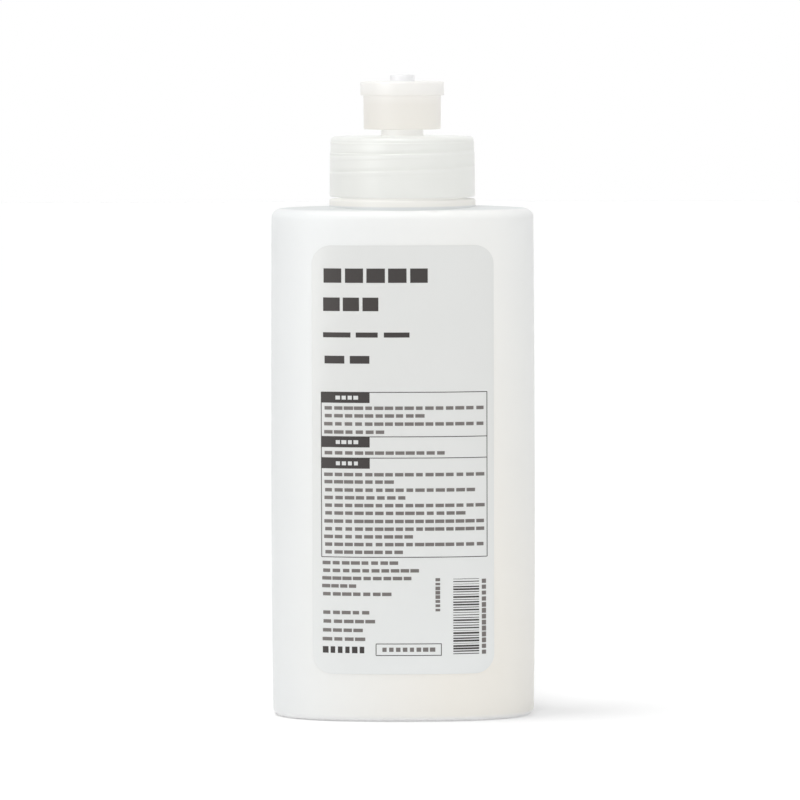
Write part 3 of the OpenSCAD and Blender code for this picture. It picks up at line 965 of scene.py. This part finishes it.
def front_y(sizes, x, z, grow):
    """Depth of the body's front at a place, moved outwards by grow."""
    half_width = sizes.width / 2 + swell_at(sizes, z) + grow
    half_depth = sizes.depth / 2 + swell_at(sizes, z) + grow
    return -half_depth * (1 - (abs(x) / half_width) ** sizes.plan_power) ** (1 / sizes.plan_power)


class BOTTLE_OT_film(bpy.types.Operator):
    """Make the rounded film that follows the bottle's front"""
    bl_idname = "bottle.film"
    bl_label = "Front film"

    def execute(self, context):
        sizes = context.scene.bottle_sizes
        low, high, side = FILM_LOW.z, FILM_HIGH.z, FILM_HIGH.x
        corner = [pi / 2 * k / 10 for k in range(11)]
        edge = [(side - FILM_CORNER * (1 - sin(a)), low + FILM_CORNER * (1 - cos(a)))
                for a in corner]
        run = high - low - 2 * FILM_CORNER
        straight = [(side, low + FILM_CORNER + run * k / 30) for k in range(1, 30)]
        edge += straight + [(x, low + high - z) for x, z in edge[::-1]]
        columns = 48
        points, faces = [], []
        for grow in (FILM_GAP, FILM_GAP + FILM_THICKNESS):
            for half, z in edge:
                for k in range(columns + 1):
                    x = half * (2 * k / columns - 1)
                    points.append((x, front_y(sizes, x, z, grow), z))
        row = columns + 1
        layer = row * len(edge)
        for j in range(len(edge) - 1):
            for k in range(columns):
                a = j * row + k
                faces.append((a, a + row, a + row + 1, a + 1))
                faces.append((layer + a, layer + a + 1, layer + a + row + 1, layer + a + row))
            for a, turned in ((j * row, True), (j * row + columns, False)):
                side_face = (a, a + row, layer + a + row, layer + a)
                faces.append(side_face[::-1] if turned else side_face)
        for k in range(columns):
            for a in (k, (len(edge) - 1) * row + k):
                faces.append((a, a + 1, layer + a + 1, layer + a))
        piece = mesh_object("label_film", points, faces)
        piece.data.materials.append(label_film(context.scene.plastic_colours.film))
        clean(piece)
        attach(piece, "bottle")
        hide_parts("front_label")
        return {"FINISHED"}


# The print's rows in millimetres: left end, middle height, length, height, then the number of bars,
# the share of its cell that each fills and how much that varies. A row of the table or below it
# gives only its height and its right end. They are plain bars, with nothing to read.
TITLE_ROWS = (
    (-20.9, 115.7, 27.9, 3.7, 5, 0.86, 0.05), (-20.9, 108.3, 15.1, 3.5, 3, 0.86, 0.07),
    (-20.9, 100.4, 23.2, 1.3, 3, 0.93, 0.2), (-20.9, 94.0, 13.0, 2.0, 2, 0.92, 0.2))
HEADERS = ((84.2, 12.5), (72.7, 12.5), (67.2, 12.5))
TABLE_ROWS = (
    (81.5, 21.2), (79.5, 5.7), (77.4, 21.2), (75.3, -4.6), (69.9, 11.1), (64.3, 21.2), (62.4, -2.3),
    (60.3, 18.8), (58.3, 1.0), (56.3, 21.2), (54.3, 16.2), (52.2, 21.2), (50.2, 21.2), (48.2, 2.7),
    (46.2, 21.2), (44.2, 0.1))
LOWER_ROWS = (
    (41.4, -1.2), (39.4, 4.2), (37.4, 2.4), (35.4, -12.0), (33.3, -3.0), (28.5, -8.5), (26.2, -7.2),
    (23.9, -10.4), (21.6, -9.8))
TABLE = (-21.1, 42.9, 21.7, 85.6)
WORD_LENGTH = 2.6
# One bar that fills its row, and the ways in which a row lies: level, upright or level and pale
FULL = (1, 1, 0)
LEVEL, UPRIGHT, PALE = 0, 1, 2


class BOTTLE_OT_print(bpy.types.Operator):
    """Lay the plain printed bars, rules and stripes on the film"""
    bl_idname = "bottle.print"
    bl_label = "Film print"

    def execute(self, context):
        sizes, prints = context.scene.bottle_sizes, context.scene.print_sizes
        tree = print_tree()
        colours = context.scene.plastic_colours
        dark = printing_ink("printing_ink", colours.ink)
        # Small print is thin strokes, which read as grey
        fine = printing_ink("fine_print_ink", colours.fine_ink)
        pale = printing_ink("film_gaps", linear("#DEDFDE")[:3], 0.03)
        line = prints.line / MM
        small = [(left, z, end - left, 0.9, round((end - left) / WORD_LENGTH), 0.95, 0.3)
                 for left, table in ((-20.6, TABLE_ROWS), (-21.1, LOWER_ROWS)) for z, end in table]
        marks = [(row, LEVEL) for row in small + [(-5.8, 18.9, 14.2, 1.1, 8, 0.88, 0.3)]]
        marks += [(row, UPRIGHT) for row in (
            (8.9, 28.6, 9.0, 1.2, 8, 0.85, 0.3), (20.85, 17.3, 20.0, 1.1, 13, 0.85, 0.3))]
        marks += [((-17.6, z, 6.2, 1.0, 4, 0.85, 0.25), PALE) for z, length in HEADERS]
        left, low, right, high = TABLE
        rules = [(row, LEVEL) for row in TITLE_ROWS + ((-21.1, 18.8, 11.3, 1.7, 6, 0.85, 0.3),)]
        rules += [((left, z, right - left, line) + FULL, LEVEL) for z in (low, 68.6, 74.1, high)]
        rules += [((x, low, high - low, line) + FULL, UPRIGHT) for x in (left, right)]
        rules += [((left, z, length, 2.7) + FULL, LEVEL) for z, length in HEADERS]
        rules += [((-7.1, z, 17, line) + FULL, LEVEL) for z in (17.4, 20.4)]
        rules += [((x, 17.4, 3, line) + FULL, UPRIGHT) for x in (-7.1, 9.8)]
        stripes = [((12.9, 17.4, 20.1, 6.7, 30, 0.74, 0.6), UPRIGHT)]
        self.lay("print_rules", rules, 25, 0, tree, dark, pale, sizes, prints)
        self.lay("print_marks", marks, 9, 0.01 * MM, tree, fine, pale, sizes, prints)
        self.lay("print_stripes", stripes, 8, 0, tree, dark, pale, sizes, prints)
        return {"FINISHED"}

    def lay(self, name, table, steps, lift, tree, dark, pale, sizes, prints):
        """Runs the print tree on one point for each row and keeps the bars as a piece."""
        points, row_size, row_look = [], [], []
        for (x, z, length, width, count, fill, vary), way in table:
            # A stripe's place is its left edge, and any other row's is its middle
            aside = width * MM / 2 if name == "print_stripes" else 0
            points.append((x * MM + aside, 0, z * MM))
            row_size += [length * MM, way == UPRIGHT, width * MM]
            row_look += [count, fill, vary]
        piece = mesh_object(name, points, [])
        mark(piece, "row_size", "FLOAT_VECTOR", row_size)
        mark(piece, "row_look", "FLOAT_VECTOR", row_look)
        mark(piece, "row_pale", "FLOAT", [float(way == PALE) for row, way in table])
        grow = FILM_GAP + FILM_THICKNESS + prints.ink / 3 + lift
        run_tree(piece, tree, half_width=sizes.width / 2 + grow, half_depth=sizes.depth / 2 + grow,
                 power=sizes.plan_power, swell=sizes.side_swell, swell_height=sizes.swell_height,
                 rim_height=sizes.rim_height, ink=prints.ink, steps=steps, seed=prints.seed,
                 dark=dark, pale=pale)
        clean(piece)
        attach(piece, "bottle")


# Each lamp's name, kind, strength, breadth (a sun's in degrees, a disk's in metres) and place
LAMPS = (
    ("side_window", "AREA", 5, 0.8, (-0.95, -0.8, 0.42)),
    ("top_light", "SUN", 1.15, 22, (-0.24, -0.05, 1.0)),
    ("soft_box", "AREA", 3.0, 0.36, (-0.1, -0.83, 1.1)))
LAMP_AIM = Vector((0, 0, 0.08))
# Light of the studio's air from the sides, from above, and what is added from the right
AIR_SIDES, AIR_TOP, AIR_RIGHT = 1.18, 0.14, 0.12
FLOOR_LIFT = 0.21
# The photograph's view: from 1.6 m, 3.8 degrees down on the bottle, with a small tilt
CAMERA_PLACE = (-0.00075, -1.5906, 0.1875)
CAMERA_DOWN, CAMERA_TILT, CAMERA_LENS = 3.786, -0.14, 274.5


class BOTTLE_OT_studio(bpy.types.Operator):
    """Set up the pale floor, the soft light and the camera"""
    bl_idname = "bottle.studio"
    bl_label = "Studio"

    def execute(self, context):
        scene = context.scene
        floor = mesh_object("studio_floor", *floor_shape())
        floor.data.materials.append(floor_paint())
        for name, kind, strength, breadth, place in LAMPS:
            lamp = bpy.data.lights.new(name, kind)
            lamp.energy = strength
            if kind == "SUN":
                lamp.angle = radians(breadth)
            else:
                lamp.shape, lamp.size = "DISK", breadth
            light = bpy.data.objects.new(name, lamp)
            light.location = place
            light.rotation_euler = (LAMP_AIM - Vector(place)).to_track_quat("-Z", "Y").to_euler()
            scene.collection.objects.link(light)
            # The window is far off and faint, so it is seen in the gloss and lights nothing
            light.visible_diffuse = name != "side_window"
        world = scene.world or bpy.data.worlds.new("studio_air")
        scene.world = world
        world.use_nodes = True
        tree = world.node_tree
        tree.nodes.clear()
        # Softer from above than from the walls of the studio
        direction = add(tree, "ShaderNodeTexCoord", out="Generated")
        way = add(tree, "ShaderNodeSeparateXYZ", direction).node.outputs
        level = add(tree, "ShaderNodeMapRange", way["Z"], 0.0, 1.0, AIR_SIDES, AIR_TOP)
        right = add(tree, "MULTIPLY", way["X"], AIR_RIGHT)
        level = add(tree, "ADD", level, right)
        soft = add(tree, "ShaderNodeBackground", (1, 1, 1, 1), level)
        white = add(tree, "ShaderNodeBackground", (1, 1, 1, 1), 1.0)
        both = add(tree, "ShaderNodeMixShader", seen_itself(tree), soft, white)
        add(tree, "ShaderNodeOutputWorld", both)
        camera = bpy.data.cameras.new("photo_camera")
        camera.lens, camera.sensor_width = CAMERA_LENS, 36
        camera.clip_start, camera.clip_end = 0.1, 50
        view = bpy.data.objects.new("photo_camera", camera)
        view.matrix_world = (Matrix.Translation(CAMERA_PLACE)
                             @ Matrix.Rotation(radians(90 - CAMERA_DOWN), 4, "X")
                             @ Matrix.Rotation(radians(CAMERA_TILT), 4, "Z"))
        scene.collection.objects.link(view)
        scene.camera = view
        scene.view_settings.view_transform = "Standard"
        return {"FINISHED"}


def floor_shape():
    """Round sheet under the bottle."""
    radius, count = 4.0, 96
    return circles([(radius, 0)], even_angles(count))[0], [tuple(range(count))]


def floor_paint():
    # Satin white studio board with fibres of 2.5 mm, lifted for the camera so that only the
    # shadow is left of it
    material, tree, place = finish(
        "studio_board", Roughness=0.6, IOR=1.45, Emission_Color=(1, 1, 1, 1))
    fibre = add(tree, "ShaderNodeTexNoise", place, sockets={"Scale": 400.0, "Detail": 2.0})
    colour = add(tree, "ShaderNodeValToRGB", fibre)
    set_ends(colour, (linear("#EEEEEE"), linear("#F1F1F1")))
    lift = add(tree, "MULTIPLY", seen_itself(tree), FLOOR_LIFT)
    return connect(material, Base_Color=colour, Emission_Strength=lift)


class BOTTLE_PT_parts(bpy.types.Panel):
    """Lists the bottle's pieces in the sidebar"""
    bl_idname = "BOTTLE_PT_parts"
    bl_label = "Dish soap bottle"
    bl_space_type = "VIEW_3D"
    bl_region_type = "UI"
    bl_category = "Bottle"

    def draw(self, context):
        layout = self.layout
        for operator in OPERATORS:
            layout.operator(operator.bl_idname)
        for group in GROUPS:
            box = layout.box()
            values = getattr(context.scene, group)
            for name in values.bl_rna.properties.keys():
                if name not in ("rna_type", "name"):
                    box.prop(values, name)


OPERATORS = (BOTTLE_OT_shell, BOTTLE_OT_cap, BOTTLE_OT_spout, BOTTLE_OT_liner, BOTTLE_OT_film,
             BOTTLE_OT_print, BOTTLE_OT_studio)
GROUPS = {"bottle_sizes": BottleSizes, "thread_sizes": ThreadSizes, "closure_sizes": ClosureSizes,
          "print_sizes": PrintSizes, "plastic_colours": PlasticColours}


def register():
    for group in GROUPS.values():
        bpy.utils.register_class(group)
    for kind in OPERATORS + (BOTTLE_PT_parts,):
        bpy.utils.register_class(kind)
    for name, group in GROUPS.items():
        setattr(bpy.types.Scene, name, PointerProperty(type=group))


def unregister():
    for name in GROUPS:
        delattr(bpy.types.Scene, name)
    for kind in (BOTTLE_PT_parts,) + OPERATORS[::-1]:
        bpy.utils.unregister_class(kind)
    for group in GROUPS.values():
        bpy.utils.unregister_class(group)


def main():
    register()
    bpy.ops.bottle.shell()
    bpy.ops.bottle.cap()
    bpy.ops.bottle.spout()
    bpy.ops.bottle.liner()
    bpy.ops.bottle.film()
    bpy.ops.bottle.print()
    bpy.ops.bottle.studio()


if __name__ == "__main__":
    main()
